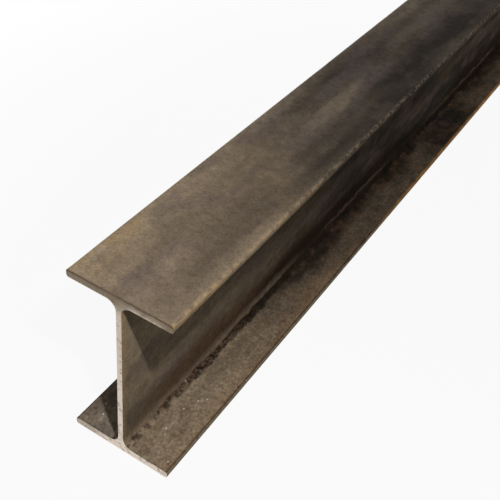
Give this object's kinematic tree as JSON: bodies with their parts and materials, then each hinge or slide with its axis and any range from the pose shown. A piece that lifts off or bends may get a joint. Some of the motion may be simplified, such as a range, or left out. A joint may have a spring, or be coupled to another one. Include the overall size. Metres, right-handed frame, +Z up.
{
  "type": "steel i-beam",
  "caption": "Length of hot-rolled steel I-beam with parallel flanges, filleted roots and sawn ends, dark with mill scale and light rust; a structural beam or post.",
  "frame": {"origin": "middle of the lower flange's underside, halfway along the length and halfway across the flange", "axes": "+Z up, from the lower flange to the upper one; +Y along the length, away from the end that faces the viewer; +X across the flanges"},
  "size_m": [0.073, 1, 0.1374],
  "materials": {
    "rolled_steel": "as rolled, dark grey-brown mill scale with light rust, pale sawn ends"
  },
  "bodies": {
    "root": {"i_beam": "rolled_steel"}
  },
  "joints": []
}
